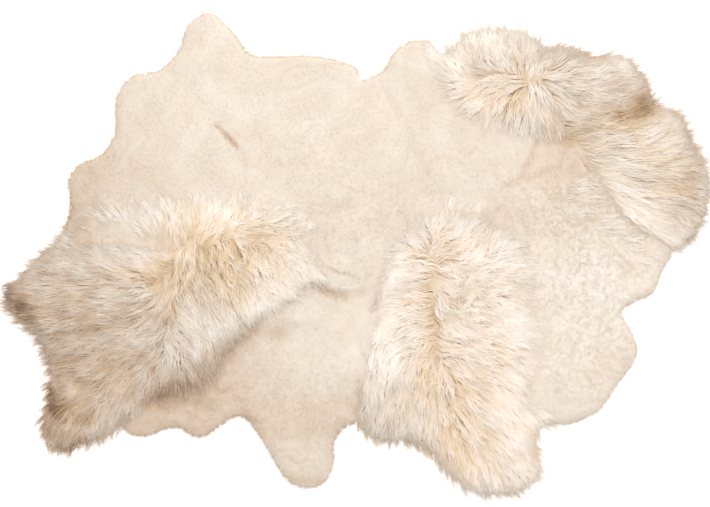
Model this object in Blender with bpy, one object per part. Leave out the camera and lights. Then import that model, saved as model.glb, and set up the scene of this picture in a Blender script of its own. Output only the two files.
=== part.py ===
"""A sheepskin rug of four pelts sewn edge to edge, lying flat with its wool up.

Metres, +Z up. The skin side lies on the plane z = 0, X runs along the rug's length, and the origin
is under the middle of its bounding box. Each pelt is one solid of skin and wool together: its edge
is as far as the wool reaches, and its top is the top of the pile.
"""

import math
from collections import namedtuple

import bmesh
import bpy
import numpy as np
from mathutils import Vector, geometry

# The skin and the pile standing on it.
SHORT_PILE = 0.017  # clipped wool
LONG_PILE = 0.056  # unclipped wool, lying over
OUTER_RIM = 0.004  # where the pile thins out at the rug's edge
SEAM_RIM = 0.011  # how high the pile still stands beside a seam
SHORT_ROUND = 0.016  # how far in from an edge short wool reaches its full height
LONG_ROUND = 0.060  # the same for long wool
SEAM_GAP = 0.0004  # between two pelts, at their common seam

# How finely a pelt is meshed.
EDGE_STEP = 0.017
RING_INSETS = (0.006, 0.017)  # rows of points just inside the edge, for its rounding
RING_TRUE_SHARE = 0.9  # a row's point is left out where another part of the edge is nearer than this
RING_SPACING = 0.0036  # at least this far between two points of the rows
MERGE_WITHIN = 1e-6  # points nearer than this are one
MITRE_FLOOR = 0.15  # keeps an inset corner from running away at a sharp notch
LATTICE_STEP = 0.033
CLEAR_OF_EDGE = 0.026  # between the edge and the nearest lattice point

# The slow unevenness of a hand-clipped fleece: wave length along X and along Y, and height.
Wave = namedtuple("Wave", "length_x length_y phase height")
WAVES = (
    Wave(0.230, 0.310, 0.4, 0.0010),
    Wave(-0.170, 0.150, 2.1, 0.0008),
    Wave(0.097, -0.121, 4.0, 0.0005),
)
LONG_WAVE_GAIN = 2.5  # long wool is this much lumpier

# The places where two pelts' edges meet, and where one seam ends on another.
Place = namedtuple("Place", "where x y")
TOP_NOTCH = Place("notch at the top of the main seam", 0.013, 0.462)
LEFT_NOTCH = Place("left end of the left seam", -0.635, -0.456)
BOTTOM_NOTCH = Place("notch at the bottom of the main seam", 0.003, -0.452)
RIGHT_NOTCH = Place("right end of the right seam", 0.860, 0.006)
LEFT_JOIN = Place("left seam meets the main seam", 0.055, -0.100)
RIGHT_JOIN = Place("right seam meets the main seam", 0.110, 0.123)

# Seams, as the rows that a curve runs through: where, x, y.
MAIN_SEAM = (
    TOP_NOTCH,
    Place("beside the top tab", 0.028, 0.380),
    Place("right of the shoulder", 0.082, 0.285),
    Place("above the right join", 0.076, 0.200),
    RIGHT_JOIN,
    Place("beside the crown of long wool", 0.110, 0.030),
    LEFT_JOIN,
    Place("under the long wool", 0.038, -0.200),
    Place("above the bottom notch", 0.002, -0.330),
    BOTTOM_NOTCH,
)
LEFT_SEAM = (
    LEFT_NOTCH,
    Place("below the brown locks", -0.593, -0.440),
    Place("turn to the right", -0.560, -0.395),
    Place("under the fringe", -0.480, -0.382),
    Place("under the fringe", -0.400, -0.345),
    Place("fringe's right side", -0.340, -0.265),
    Place("fringe's right side", -0.270, -0.190),
    Place("end of the long wool", -0.170, -0.135),
    Place("start of the pucker", -0.115, -0.090),
    Place("pucker", -0.040, -0.114),
    Place("end of the pucker", 0.010, -0.106),
    LEFT_JOIN,
)
RIGHT_SEAM = (
    RIGHT_JOIN,
    Place("over the crown", 0.190, 0.162),
    Place("over the crown", 0.290, 0.160),
    Place("dip before the wrinkles", 0.350, 0.150),
    Place("first wrinkle", 0.430, 0.192),
    Place("second wrinkle", 0.520, 0.215),
    Place("start of the long wool", 0.580, 0.250),
    Place("under the long wool", 0.620, 0.215),
    Place("under the long wool", 0.670, 0.160),
    Place("under the long wool", 0.720, 0.085),
    Place("toward the right edge", 0.790, 0.043),
    RIGHT_NOTCH,
)

# The rug's outer edge, counter-clockwise, pelt by pelt: where, x, y.
UPPER_LEFT_EDGE = (
    TOP_NOTCH,
    Place("side of the notch", 0.009, 0.486),
    Place("right shoulder", -0.050, 0.517),
    Place("right shoulder", -0.120, 0.530),
    Place("back of the neck", -0.220, 0.528),
    Place("foot of the neck", -0.280, 0.532),
    Place("neck, right side", -0.332, 0.594),
    Place("neck tip", -0.394, 0.644),
    Place("neck, left side", -0.452, 0.610),
    Place("neck, left side", -0.472, 0.550),
    Place("foot of the neck", -0.530, 0.490),
    Place("left shoulder", -0.605, 0.473),
    Place("left shoulder", -0.638, 0.430),
    Place("flank", -0.650, 0.310),
    Place("above the stub", -0.680, 0.266),
    Place("foreleg stub", -0.750, 0.230),
    Place("foreleg stub's tip", -0.773, 0.195),
    Place("below the stub", -0.767, 0.150),
    Place("flank", -0.785, 0.060),
    Place("long wool begins", -0.825, 0.010),
    Place("long fringe", -0.885, -0.050),
    Place("fringe's left tip", -0.943, -0.122),
    Place("long fringe", -0.910, -0.180),
    Place("cleft in the fringe", -0.840, -0.250),
    Place("straight fringe", -0.822, -0.310),
    Place("brown lock", -0.825, -0.390),
    Place("brown lock's tip", -0.840, -0.450),
    Place("fringe's lower tip", -0.823, -0.526),
    Place("lower fringe", -0.775, -0.530),
    Place("lower fringe", -0.720, -0.506),
    Place("end of the fringe", -0.660, -0.486),
    LEFT_NOTCH,
)
LOWER_LEFT_EDGE = (
    LEFT_NOTCH,
    Place("haunch", -0.615, -0.482),
    Place("haunch", -0.570, -0.493),
    Place("shallow bay", -0.500, -0.470),
    Place("shallow bay", -0.475, -0.471),
    Place("belly", -0.420, -0.497),
    Place("beside the bay", -0.370, -0.468),
    Place("bay before the leg", -0.310, -0.438),
    Place("root of the leg", -0.267, -0.480),
    Place("leg, left side", -0.208, -0.576),
    Place("leg's end", -0.178, -0.617),
    Place("leg's end", -0.083, -0.617),
    Place("leg, right side", -0.062, -0.570),
    Place("leg, right side", -0.056, -0.500),
    Place("root of the leg", -0.030, -0.470),
    BOTTOM_NOTCH,
)
LOWER_RIGHT_EDGE = (
    BOTTOM_NOTCH,
    Place("long fringe", 0.020, -0.480),
    Place("long fringe", 0.060, -0.504),
    Place("long fringe", 0.140, -0.503),
    Place("root of the haunch", 0.205, -0.540),
    Place("haunch, left side", 0.260, -0.603),
    Place("haunch, lower edge", 0.330, -0.645),
    Place("haunch, lower edge", 0.400, -0.650),
    Place("haunch, lower edge", 0.465, -0.630),
    Place("haunch's tip", 0.498, -0.590),
    Place("haunch, right side", 0.487, -0.520),
    Place("inner corner", 0.498, -0.469),
    Place("belly", 0.580, -0.460),
    Place("belly", 0.650, -0.428),
    Place("flank", 0.705, -0.355),
    Place("flank", 0.758, -0.260),
    Place("flank", 0.735, -0.200),
    Place("bay under the foreleg", 0.715, -0.160),
    Place("foreleg stub", 0.750, -0.132),
    Place("foreleg stub's tip", 0.798, -0.110),
    Place("shoulder", 0.825, -0.050),
    RIGHT_NOTCH,
)
UPPER_RIGHT_EDGE = (
    RIGHT_NOTCH,
    Place("long fringe", 0.890, 0.025),
    Place("long fringe", 0.935, 0.090),
    Place("widest point", 0.950, 0.150),
    Place("long fringe", 0.935, 0.250),
    Place("long fringe", 0.900, 0.310),
    Place("shallow bay", 0.875, 0.366),
    Place("inner corner", 0.805, 0.400),
    Place("hind end", 0.775, 0.470),
    Place("hind end", 0.725, 0.526),
    Place("upper fringe", 0.640, 0.525),
    Place("upper fringe", 0.575, 0.552),
    Place("dip", 0.515, 0.552),
    Place("upper fringe", 0.460, 0.588),
    Place("upper fringe", 0.380, 0.602),
    Place("upper fringe", 0.300, 0.590),
    Place("end of the fringe", 0.258, 0.545),
    Place("dip beside the tab", 0.233, 0.538),
    Place("tab", 0.200, 0.568),
    Place("tab", 0.140, 0.565),
    Place("tab, left side", 0.096, 0.525),
    Place("tab's root", 0.080, 0.492),
    Place("notch side", 0.045, 0.472),
    TOP_NOTCH,
)

# Where the wool is left long: ellipses whose middle is full height and whose rim is clipped short.
Lobe = namedtuple("Lobe", "x y half_length half_width turn")
UPPER_LEFT_LONG = (
    Lobe(-0.790, -0.120, 0.23, 0.17, 10),
    Lobe(-0.720, -0.370, 0.21, 0.20, 40),
    Lobe(-0.560, -0.190, 0.28, 0.23, -20),
    Lobe(-0.480, -0.260, 0.20, 0.15, 0),
    Lobe(-0.330, -0.110, 0.24, 0.16, -30),
    Lobe(-0.190, -0.060, 0.12, 0.10, -50),
)
LOWER_RIGHT_LONG = (
    Lobe(0.250, -0.060, 0.24, 0.17, 10),
    Lobe(0.260, -0.250, 0.26, 0.24, 0),
    Lobe(0.150, -0.400, 0.19, 0.16, 0),
    Lobe(0.350, -0.500, 0.24, 0.17, -60),
)
UPPER_RIGHT_LONG = (
    Lobe(0.430, 0.475, 0.24, 0.15, -12),
    Lobe(0.620, 0.430, 0.23, 0.15, -10),
    Lobe(0.760, 0.330, 0.22, 0.19, -40),
    Lobe(0.820, 0.190, 0.20, 0.22, 0),
    Lobe(0.860, 0.090, 0.14, 0.13, -20),
)
LOBE_CORE = 0.5  # the part of a lobe, from its middle out, that is full height

# Creases pressed into the rug, and rolls that stand up from it: a straight run, its depth (a roll's
# is negative) and its half width.
Crease = namedtuple("Crease", "x y end_x end_y depth half_width")
UPPER_LEFT_CREASES = (
    Crease(-0.385, 0.350, -0.315, 0.285, 0.009, 0.012),
    Crease(-0.315, 0.285, -0.290, 0.110, 0.003, 0.020),
    Crease(-0.120, -0.060, 0.000, -0.078, -0.006, 0.030),
)
LOWER_LEFT_CREASES = (
    Crease(-0.310, -0.208, -0.190, -0.214, 0.006, 0.016),
    Crease(-0.180, -0.165, -0.100, -0.170, -0.004, 0.030),
)
UPPER_RIGHT_CREASES = (
    Crease(0.090, 0.450, 0.125, 0.370, 0.002, 0.014),
    Crease(0.125, 0.370, 0.200, 0.210, 0.002, 0.016),
    Crease(0.480, 0.290, 0.440, 0.205, 0.004, 0.010),
)
LOWER_RIGHT_CREASES = (
    Crease(0.475, -0.120, 0.485, -0.400, 0.003, 0.030),
)

WOOL_ROUGHNESS = 0.95
WOOL_SHEEN = 0.4
SHARP_ANGLE = math.radians(60)  # only the foot of the wall is a sharp edge

# Each pelt's long wool, its creases and its colour, linear.
PELTS = {
    "pelt_upper_left": (UPPER_LEFT_LONG, UPPER_LEFT_CREASES, (0.80, 0.69, 0.55)),
    "pelt_lower_left": ((), LOWER_LEFT_CREASES, (0.76, 0.67, 0.54)),
    "pelt_upper_right": (UPPER_RIGHT_LONG, UPPER_RIGHT_CREASES, (0.82, 0.70, 0.52)),
    "pelt_lower_right": (LOWER_RIGHT_LONG, LOWER_RIGHT_CREASES, (0.83, 0.74, 0.60)),
}


def clear_scene():
    """Removes every object that the scene starts with."""
    for old in list(bpy.data.objects):
        bpy.data.objects.remove(old, do_unlink=True)


def smooth_through(places):
    """Points along a smooth curve through the places, and each place's index among them."""
    knots = [Vector((place.x, place.y)) for place in places]
    tangents = []
    for before, here, after in zip(knots[:1] + knots, knots, knots[1:] + knots[-1:]):
        back = here - before
        ahead = after - here
        # The nearer neighbour sets more of the direction, so short spans stay round.
        tangents.append((back * ahead.length_squared + ahead * back.length_squared).normalized())
    points = []
    index_of = {}
    for i in range(len(knots) - 1):
        index_of[places[i]] = len(points)
        chord = (knots[i + 1] - knots[i]).length
        start_handle = knots[i] + tangents[i] * chord / 3
        end_handle = knots[i + 1] - tangents[i + 1] * chord / 3
        steps = max(1, round(chord / EDGE_STEP))
        span = geometry.interpolate_bezier(knots[i], start_handle, end_handle, knots[i + 1], steps + 1)
        points += [Vector(point[:2]) for point in span[:-1]]
    index_of[places[-1]] = len(points)
    points.append(knots[-1])
    return points, index_of


def pelt_borders():
    """For each pelt, its closed border counter-clockwise: (its outer edge, its seams), as lists of points."""
    main, at = smooth_through(MAIN_SEAM)
    left, _ = smooth_through(LEFT_SEAM)
    right, _ = smooth_through(RIGHT_SEAM)
    top_part = main[: at[RIGHT_JOIN] + 1]
    middle_part = main[at[RIGHT_JOIN] : at[LEFT_JOIN] + 1]
    bottom_part = main[at[LEFT_JOIN] :]
    return {
        "pelt_upper_left": (
            smooth_through(UPPER_LEFT_EDGE)[0],
            left + (top_part + middle_part[1:])[-2::-1],
        ),
        "pelt_lower_left": (
            smooth_through(LOWER_LEFT_EDGE)[0],
            bottom_part[::-1] + left[-2::-1],
        ),
        "pelt_lower_right": (
            smooth_through(LOWER_RIGHT_EDGE)[0],
            right[::-1] + middle_part[1:] + bottom_part[1:],
        ),
        "pelt_upper_right": (
            smooth_through(UPPER_RIGHT_EDGE)[0],
            top_part + right[1:],
        ),
    }


def moved_in(border, distance):
    """A closed counter-clockwise border, moved inwards by the distance with mitred corners."""
    moved = []
    for i, here in enumerate(border):
        back = (here - border[i - 1]).normalized()
        ahead = (border[(i + 1) % len(border)] - here).normalized()
        normal = Vector((-back.y - ahead.y, back.x + ahead.x))
        mitre = max(1 + back.dot(ahead), MITRE_FLOOR)
        moved.append(here + normal * distance / mitre)
    return moved


def distances_to(line, points):
    """Each point's distance to a polyline, all as arrays of x, y."""
    starts = line[:-1]
    spans = line[1:] - starts
    to_points = points[:, None, :] - starts[None, :, :]
    along = (to_points * spans).sum(axis=2) / (spans**2).sum(axis=1)
    nearest = starts + np.clip(along, 0, 1)[:, :, None] * spans
    return np.linalg.norm(points[:, None, :] - nearest, axis=2).min(axis=1)


def are_inside(border, points):
    """Whether each point lies inside a closed border, by the crossings to its right."""
    x, y = points[:, :1], points[:, 1:]
    start = border
    end = np.roll(border, -1, axis=0)
    spans_y = (start[:, 1] > y) != (end[:, 1] > y)
    rise = np.where(end[:, 1] == start[:, 1], 1, end[:, 1] - start[:, 1])
    crossing_x = start[:, 0] + (y - start[:, 1]) / rise * (end[:, 0] - start[:, 0])
    return (spans_y & (x < crossing_x)).sum(axis=1) % 2 == 1


def inner_points(border):
    """The points that a pelt's top is meshed through: rows beside its border, then an even lattice."""
    closed = np.array(border + border[:1])
    kept = np.empty((0, 2))
    for inset in RING_INSETS:
        ring = np.array(moved_in(border, inset))
        ring = ring[are_inside(closed[:-1], ring)]
        ring = ring[distances_to(closed, ring) > RING_TRUE_SHARE * inset]
        for point in ring:
            if not len(kept) or np.linalg.norm(kept - point, axis=1).min() > RING_SPACING:
                kept = np.vstack([kept, point])
    low = closed.min(axis=0)
    high = closed.max(axis=0)
    row_step = LATTICE_STEP * math.sqrt(3) / 2
    lattice = [
        (x + (row % 2) * LATTICE_STEP / 2, y)
        for row, y in enumerate(np.arange(low[1], high[1], row_step))
        for x in np.arange(low[0], high[0], LATTICE_STEP)
    ]
    lattice = np.array(lattice)
    lattice = lattice[are_inside(closed[:-1], lattice)]
    lattice = lattice[distances_to(closed, lattice) > CLEAR_OF_EDGE]
    return np.vstack([kept, lattice])


def smooth_step(value):
    """0 up to 0, 1 from 1 on, and an S-curve between."""
    value = np.clip(value, 0, 1)
    return value * value * (3 - 2 * value)


def long_share(lobes, points):
    """How far the wool at each point is long: 0 is clipped short, 1 is full length."""
    clipped = np.ones(len(points))
    for lobe in lobes:
        turn = math.radians(lobe.turn)
        across = points - (lobe.x, lobe.y)
        u = (across[:, 0] * math.cos(turn) + across[:, 1] * math.sin(turn)) / lobe.half_length
        v = (across[:, 1] * math.cos(turn) - across[:, 0] * math.sin(turn)) / lobe.half_width
        clipped *= 1 - smooth_step((1 - np.hypot(u, v)) / (1 - LOBE_CORE))
    return 1 - clipped


def rounded(distance, reach):
    """A quarter ellipse's height, from 0 at the edge to 1 at the reach."""
    inward = np.clip(distance / reach, 0, 1)
    return np.sqrt(1 - (1 - inward) ** 2)


def pile_heights(points, outer_edge, seams, lobes, creases):
    """The height of the pile's top over each point."""
    share = long_share(lobes, points)
    pile = SHORT_PILE + (LONG_PILE - SHORT_PILE) * share
    reach = SHORT_ROUND + (LONG_ROUND - SHORT_ROUND) * share
    for wave in WAVES:
        turns = points[:, 0] / wave.length_x + points[:, 1] / wave.length_y
        pile += wave.height * (1 + LONG_WAVE_GAIN * share) * np.sin(2 * math.pi * turns + wave.phase)
    for crease in creases:
        run = np.array([(crease.x, crease.y), (crease.end_x, crease.end_y)])
        pile -= crease.depth * np.exp(-((distances_to(run, points) / crease.half_width) ** 2))
    at_edge = OUTER_RIM + (pile - OUTER_RIM) * rounded(distances_to(outer_edge, points), reach)
    at_seam = SEAM_RIM + (pile - SEAM_RIM) * rounded(distances_to(seams, points), reach)
    return np.minimum(at_edge, at_seam)


def wool_material(name, colour):
    """Undyed wool, a Principled BSDF."""
    material = bpy.data.materials.new(name)
    material.use_nodes = True
    shader = material.node_tree.nodes["Principled BSDF"]
    shader.inputs["Base Color"].default_value = (*colour, 1)
    shader.inputs["Roughness"].default_value = WOOL_ROUGHNESS
    shader.inputs["Metallic"].default_value = 0
    shader.inputs["Sheen Weight"].default_value = WOOL_SHEEN
    material.diffuse_color = (*colour, 1)
    return material


def make_pelt(name, borders, lobes, creases, colour):
    """One pelt: a top through the pile's heights, a straight wall under its rim and a flat bottom."""
    outer_edge, seams = borders
    border = moved_in(outer_edge[:-1] + seams[:-1], SEAM_GAP / 2)
    flat = np.vstack([np.array(border), inner_points(border)])
    ring = list(range(len(border)))
    corners, _, triangles, *_ = geometry.delaunay_2d_cdt(
        [Vector(point) for point in flat], [], [ring], 1, MERGE_WITHIN
    )
    flat = np.array(corners)
    heights = pile_heights(flat, np.array(outer_edge), np.array(seams), lobes, creases)
    shape = bmesh.new()
    top = [shape.verts.new((x, y, z)) for (x, y), z in zip(flat, heights)]
    for triangle in triangles:
        shape.faces.new([top[i] for i in triangle])
    rim = [edge for edge in shape.edges if edge.is_boundary]
    wall = bmesh.ops.extrude_edge_only(shape, edges=rim)["geom"]
    for vertex in (part for part in wall if isinstance(part, bmesh.types.BMVert)):
        vertex.co.z = 0
    foot = [edge for edge in shape.edges if edge.is_boundary]
    bottom = bmesh.ops.contextual_create(shape, geom=foot)["faces"]
    bmesh.ops.triangulate(shape, faces=bottom)
    bmesh.ops.recalc_face_normals(shape, faces=shape.faces)
    mesh = bpy.data.meshes.new(name)
    shape.to_mesh(mesh)
    shape.free()
    mesh.shade_smooth()
    mesh.set_sharp_from_angle(angle=SHARP_ANGLE)
    mesh.materials.append(wool_material(name + "_wool", colour))
    return bpy.data.objects.new(name, mesh)


def main():
    """Lays the four pelts out in their own collection, centred over the world origin."""
    clear_scene()
    collection = bpy.data.collections.new("sheepskin_rug")
    bpy.context.scene.collection.children.link(collection)
    all_borders = pelt_borders()
    reach = np.array([point for outer_edge, _ in all_borders.values() for point in outer_edge])
    middle = (reach.min(axis=0) + reach.max(axis=0)) / 2
    root = bpy.data.objects.new("rug_middle", None)
    root.location = (-middle[0], -middle[1], 0)
    collection.objects.link(root)
    for name, (lobes, creases, colour) in PELTS.items():
        pelt = make_pelt(name, all_borders[name], lobes, creases, colour)
        pelt.parent = root
        collection.objects.link(pelt)


main()
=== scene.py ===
"""A rug of four sheepskins, its wool clipped short with long patches left on: the looks.

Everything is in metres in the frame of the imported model, whose pelts give the outlines and heights.
"""

import math
from collections import namedtuple

import bpy
import numpy as np
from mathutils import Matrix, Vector, geometry
from mathutils.bvhtree import BVHTree


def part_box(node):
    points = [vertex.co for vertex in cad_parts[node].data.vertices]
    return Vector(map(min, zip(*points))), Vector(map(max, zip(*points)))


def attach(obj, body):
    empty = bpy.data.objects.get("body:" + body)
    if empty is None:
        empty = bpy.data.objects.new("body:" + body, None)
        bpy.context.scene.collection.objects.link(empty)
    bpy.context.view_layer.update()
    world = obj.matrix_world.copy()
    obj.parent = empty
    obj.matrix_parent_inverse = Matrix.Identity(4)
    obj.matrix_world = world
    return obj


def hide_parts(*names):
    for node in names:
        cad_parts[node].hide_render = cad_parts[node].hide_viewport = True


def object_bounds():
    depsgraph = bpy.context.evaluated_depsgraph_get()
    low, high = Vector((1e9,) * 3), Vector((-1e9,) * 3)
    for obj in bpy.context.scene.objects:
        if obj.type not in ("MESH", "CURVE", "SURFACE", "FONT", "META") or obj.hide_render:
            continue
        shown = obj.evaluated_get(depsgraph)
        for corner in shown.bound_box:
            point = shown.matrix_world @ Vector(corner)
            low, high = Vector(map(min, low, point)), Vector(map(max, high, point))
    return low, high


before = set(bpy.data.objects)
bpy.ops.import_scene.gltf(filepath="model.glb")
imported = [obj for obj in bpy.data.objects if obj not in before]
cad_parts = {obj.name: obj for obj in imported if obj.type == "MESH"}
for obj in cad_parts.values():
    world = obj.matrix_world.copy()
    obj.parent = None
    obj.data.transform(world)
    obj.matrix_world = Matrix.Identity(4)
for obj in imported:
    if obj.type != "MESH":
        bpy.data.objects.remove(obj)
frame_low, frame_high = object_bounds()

# ----------------------------------------
# The pelts as they lie. Four tanned skins were trimmed and laid edge to edge with the wool up.
# A node's flat bottom is a pelt's outline and its top is the top of the pile, so both are read
# from the frame once, on an even net of places.
NET_STEP = 0.006
NET_MARGIN = 0.09
FLOOR_LEVEL = 1e-4  # what lies lower than this belongs to a pelt's flat bottom

net_x = np.arange(frame_low.x - NET_MARGIN, frame_high.x + NET_MARGIN, NET_STEP)
net_y = np.arange(frame_low.y - NET_MARGIN, frame_high.y + NET_MARGIN, NET_STEP)
net_rows = np.stack(np.meshgrid(net_x, net_y), axis=2)
net_places = net_rows.reshape(-1, 2)


def outline_of(node):
    """The closed outline of a node's flat bottom, counter-clockwise, as x, y."""
    places = [tuple(round(value, 5) for value in vertex.co) for vertex in node.data.vertices]
    runs = set()
    for face in node.data.polygons:
        corners = [places[i] for i in face.vertices]
        if max(corner[2] for corner in corners) < FLOOR_LEVEL:
            runs.update(zip(corners, corners[1:] + corners[:1]))
    # A bottom face turns clockwise as seen from above, so its outer run is read backwards.
    before = {end: start for start, end in runs if (end, start) not in runs}
    outline = [next(iter(sorted(before)))]
    while len(outline) < len(before):
        outline.append(before[outline[-1]])
    return np.array(outline)[:, :2]


def heights_of(node):
    """The height of a node's top over each place of the net, and 0 outside it."""
    mesh = node.data
    tree = BVHTree.FromPolygons([v.co for v in mesh.vertices], [p.vertices for p in mesh.polygons])
    low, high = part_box(node.name)
    near = ((net_places >= (low.x, low.y)) & (net_places <= (high.x, high.y))).all(axis=1)
    heights = np.zeros(len(net_places))
    for i in np.flatnonzero(near):
        hit = tree.ray_cast(Vector((*net_places[i], 1)), Vector((0, 0, -1)))[0]
        heights[i] = hit.z if hit else 0
    return heights.reshape(len(net_y), len(net_x))


def distances_to(outline, places):
    """How far each place lies inside a closed outline, or minus how far outside it."""
    starts = outline
    spans = np.roll(outline, -1, axis=0) - starts
    found = []
    for some in np.array_split(places, max(1, len(places) // 4000)):
        from_start = some[:, None, :] - starts
        along = (from_start * spans).sum(axis=2) / (spans**2).sum(axis=1)
        off = from_start - np.clip(along, 0, 1)[:, :, None] * spans
        distance = np.sqrt((off**2).sum(axis=2).min(axis=1))
        ends_y = (starts + spans)[:, 1]
        spans_y = (starts[:, 1] > some[:, 1:]) != (ends_y > some[:, 1:])
        rise = np.where(spans[:, 1] == 0, 1, spans[:, 1])
        cross_x = starts[:, 0] + (some[:, 1:] - starts[:, 1]) / rise * spans[:, 0]
        inside = (spans_y & (some[:, :1] < cross_x)).sum(axis=1) % 2 == 1
        found.append(np.where(inside, distance, -distance))
    return np.concatenate(found)


def on_net(net, places):
    """A net's value at each place, blended from the four nearest."""
    column = np.clip((places[..., 0] - net_x[0]) / NET_STEP, 0, len(net_x) - 1.001)
    row = np.clip((places[..., 1] - net_y[0]) / NET_STEP, 0, len(net_y) - 1.001)
    i, j = column.astype(int), row.astype(int)
    u, v = column - i, row - j
    lower = net[j, i] * (1 - u) + net[j, i + 1] * u
    upper = net[j + 1, i] * (1 - u) + net[j + 1, i + 1] * u
    return lower * (1 - v) + upper * v


def widened(net, reach):
    """A net in which each place takes the highest value within about the reach."""
    steps = round(reach / NET_STEP)
    for _ in range(steps):
        for axis in (0, 1):
            net = np.maximum(net, np.maximum(np.roll(net, 1, axis), np.roll(net, -1, axis)))
    return net


def softened(net, reach):
    """A net blurred over about the reach."""
    for _ in range(round((reach / NET_STEP) ** 2)):
        for axis in (0, 1):
            net = net / 2 + (np.roll(net, 1, axis) + np.roll(net, -1, axis)) / 4
    return net


def unit(vectors):
    """The same vectors at a length of 1."""
    return vectors / (np.linalg.norm(vectors, axis=-1, keepdims=True) + 1e-9)


def left_of(ways):
    """Flat vectors turned a quarter of a turn to the left."""
    return np.stack([-ways[..., 1], ways[..., 0]], axis=-1)


def smooth_step(value):
    """0 up to 0, 1 from 1 on, and an S-curve between."""
    value = np.clip(value, 0, 1)
    return value * value * (3 - 2 * value)


Pelt = namedtuple("Pelt", "outline heights inside long_share")
pelts = {}
for name, node in sorted(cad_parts.items()):
    outline = outline_of(node)
    heights = heights_of(node)
    inside = distances_to(outline, net_places).reshape(heights.shape)
    pelts[name] = Pelt(outline, heights, inside, None)

# The wool of two pelts meets over a seam and nearly hides it, so the groove there is filled.
GROOVE_REACH = 0.018
GROOVE_LEFT = 0.04
raw_pile = np.maximum.reduce([pelt.heights for pelt in pelts.values()])
level_pile = -widened(-widened(raw_pile, GROOVE_REACH), GROOVE_REACH)
pile = raw_pile * GROOVE_LEFT + level_pile * (1 - GROOVE_LEFT)


SEAM_GAP = 0.004
CLEAR_OF_SEAM = 0.010


def inside_others(name, places):
    """How far each place lies inside the nearest pelt but the named one, or minus how far off."""
    others = [pelt.inside for key, pelt in pelts.items() if key != name]
    return np.max([on_net(inside, places) for inside in others], axis=0)


def outer_distances(places):
    """How far each place lies from the rug's own edge, which leaves out the seams."""
    edges = []
    for name, pelt in pelts.items():
        edges.append(pelt.outline[inside_others(name, pelt.outline) < -CLEAR_OF_SEAM])
    edges = np.vstack(edges)
    found = []
    for some in np.array_split(places, 40):
        found.append(np.sqrt(((some[:, None] - edges) ** 2).sum(axis=2).min(axis=1)))
    return np.concatenate(found)


edge_net = outer_distances(net_places).reshape(pile.shape)
in_rug = np.maximum.reduce([pelt.inside for pelt in pelts.values()])
in_rug = (in_rug > 0) | ((in_rug > -SEAM_GAP) & (edge_net > 2 * SEAM_GAP))
edge_net = np.where(in_rug, edge_net, -edge_net)

# Wool counts as left long where the pile stands higher than clipped wool, or does so a little
# further in where it thins out towards the rug's edge.
CLIPPED_HEIGHT = 0.022
FULL_HEIGHT = 0.040
FRINGE_REACH = 0.045
BORDER_BLUR = 0.012
at_edge = 1 - smooth_step((edge_net - FRINGE_REACH / 2) / (FRINGE_REACH / 2))
for name, pelt in pelts.items():
    further_in = softened(widened(pelt.heights, FRINGE_REACH), BORDER_BLUR)
    nearby = softened(pelt.heights, BORDER_BLUR)
    nearby = nearby + (further_in - nearby) * at_edge
    long_share = smooth_step((nearby - CLIPPED_HEIGHT) / (FULL_HEIGHT - CLIPPED_HEIGHT))
    pelts[name] = pelt._replace(long_share=long_share)

# The pile is rounded off at the edge, and past it falls away under the tips that hang over.
EDGE_ROUND = 0.010
EDGE_HEIGHT = 0.45
EDGE_FALL = 0.015
OVERHANG_STEPS = 5
for _ in range(OVERHANG_STEPS):
    beside = np.maximum.reduce([np.roll(pile, step, axis) for step in (-1, 1) for axis in (0, 1)])
    pile = np.where(in_rug, pile, np.maximum(pile, beside))
pile = softened(pile, NET_STEP)
rounding = np.sqrt(1 - (1 - np.clip(edge_net / EDGE_ROUND, 0, 1)) ** 2)
falling = np.exp(np.minimum(edge_net, 0) / EDGE_FALL)
pile = pile * (EDGE_HEIGHT + (1 - EDGE_HEIGHT) * rounding) * falling


# ----------------------------------------
# The skins. Sheepskin leather, tanned and left natural, about 1.6 mm thick, with a suede nap on
# the flesh side. Each is cut back from where its wool reaches, and lies flat on the floor.
SKIN_THICKNESS = 0.0016
SKIN_LIFT = 0.0008  # the seams' thread stands proud of the flesh side by this
SHORT_OVERHANG = 0.006  # clipped wool stands out this far past the skin's edge
LONG_OVERHANG = 0.034
SEAM_REACH = 0.004
SEWN_GAP = 0.0003
OUTLINE_STEP = 0.006
SKIN_NET = 0.030
SHARP_ANGLE = math.radians(50)
SUEDE_TONES = ((0.35, "#B79C7B"), (0.65, "#D2BC9C"))
BLOTCH_SIZE = 0.040
NAP_SIZE = 0.0015
NAP_DEPTH = 0.0004


def linear(hex_colour):
    """An sRGB hex colour as linear red, green, blue and alpha."""
    values = [int(hex_colour[i : i + 2], 16) / 255 for i in (1, 3, 5)]
    return (*(v / 12.92 if v <= 0.04045 else ((v + 0.055) / 1.055) ** 2.4 for v in values), 1)


def add_node(material, kind, links=(), inputs=(), **settings):
    """A node with its settings; inputs sets sockets, and links feeds them: (socket, node, output)."""
    node = material.node_tree.nodes.new(kind)
    for setting, value in settings.items():
        setattr(node, setting, value)
    for socket, value in dict(inputs).items():
        node.inputs[socket].default_value = value
    for socket, source, output in links:
        material.node_tree.links.new(source.outputs[output], node.inputs[socket])
    return node


def new_material(name):
    """A material with an empty node tree."""
    material = bpy.data.materials.new(name)
    material.use_nodes = True
    material.node_tree.nodes.clear()
    return material


def with_stops(ramp, stops):
    """Gives a colour ramp node its rows of place and hex colour."""
    elements = ramp.color_ramp.elements
    while len(elements) < len(stops):
        elements.new(0.5)
    for element, (place, tone) in zip(elements, stops):
        element.position = place
        element.color = linear(tone)
    return ramp


def textured(material, kind, inputs, **settings):
    """A texture node over the object's own places."""
    where = add_node(material, "ShaderNodeTexCoord")
    return add_node(material, kind, [("Vector", where, "Object")], inputs, **settings)


def toned(material, source, output, stops):
    """A ramp of colours that a node's output picks from."""
    return with_stops(add_node(material, "ShaderNodeValToRGB", [("Fac", source, output)]), stops)


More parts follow.
